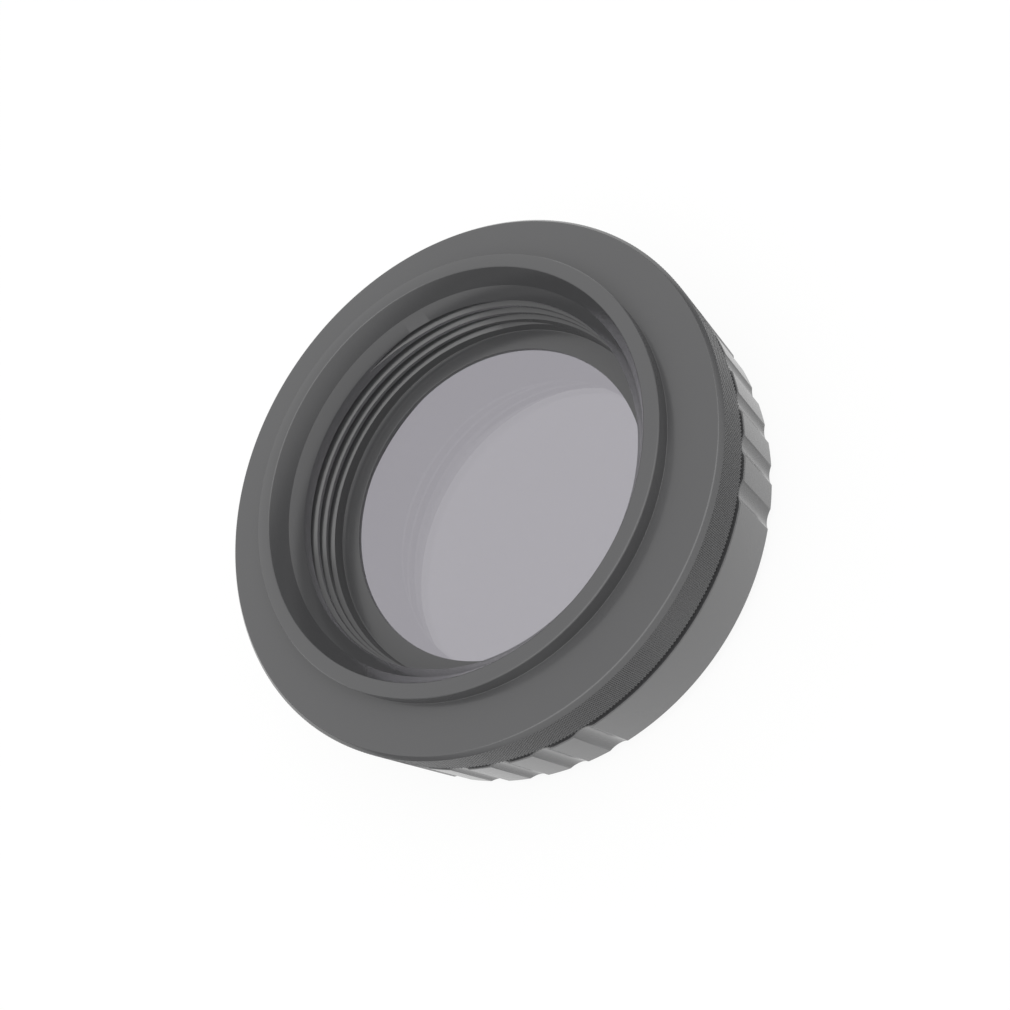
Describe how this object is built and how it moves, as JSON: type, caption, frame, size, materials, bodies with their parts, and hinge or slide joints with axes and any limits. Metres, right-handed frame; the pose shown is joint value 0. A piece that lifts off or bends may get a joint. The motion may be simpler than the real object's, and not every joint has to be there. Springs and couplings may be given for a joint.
{
  "type": "action camera lens filter",
  "caption": "Screw-on rotating lens filter for an action camera: threaded rear ring with a knurled rim and a front ring with finger scallops that holds grey glass.",
  "frame": {"origin": "centre of the front ring's front face, which the filter lies on", "axes": "+Z along the optical axis towards the camera, out of the threaded collar; -Y through the middle of one plain stretch of the finger band"},
  "size_m": [0.0376, 0.0376, 0.011],
  "materials": {
    "anodised_rear": "dark grey anodised, fine turned, satin",
    "anodised_front": "dark grey anodised, satin",
    "filter_glass": "polished neutral grey laminate",
    "anodised_inner": "matt black anodised",
    "spring_wire": "drawn spring steel wire"
  },
  "bodies": {
    "rear": {"mount_ring": "anodised_rear"},
    "front": {"grip_ring": "anodised_front", "filter_glass": "filter_glass", "glass_retaining_ring": "anodised_inner", "snap_ring": "spring_wire"}
  },
  "joints": [
    {"name": "front_ring_turn", "type": "hinge", "parent": "rear", "child": "front", "pos_m": [0, 0, 0], "axis": [0, 0, 1], "continuous": true}
  ]
}
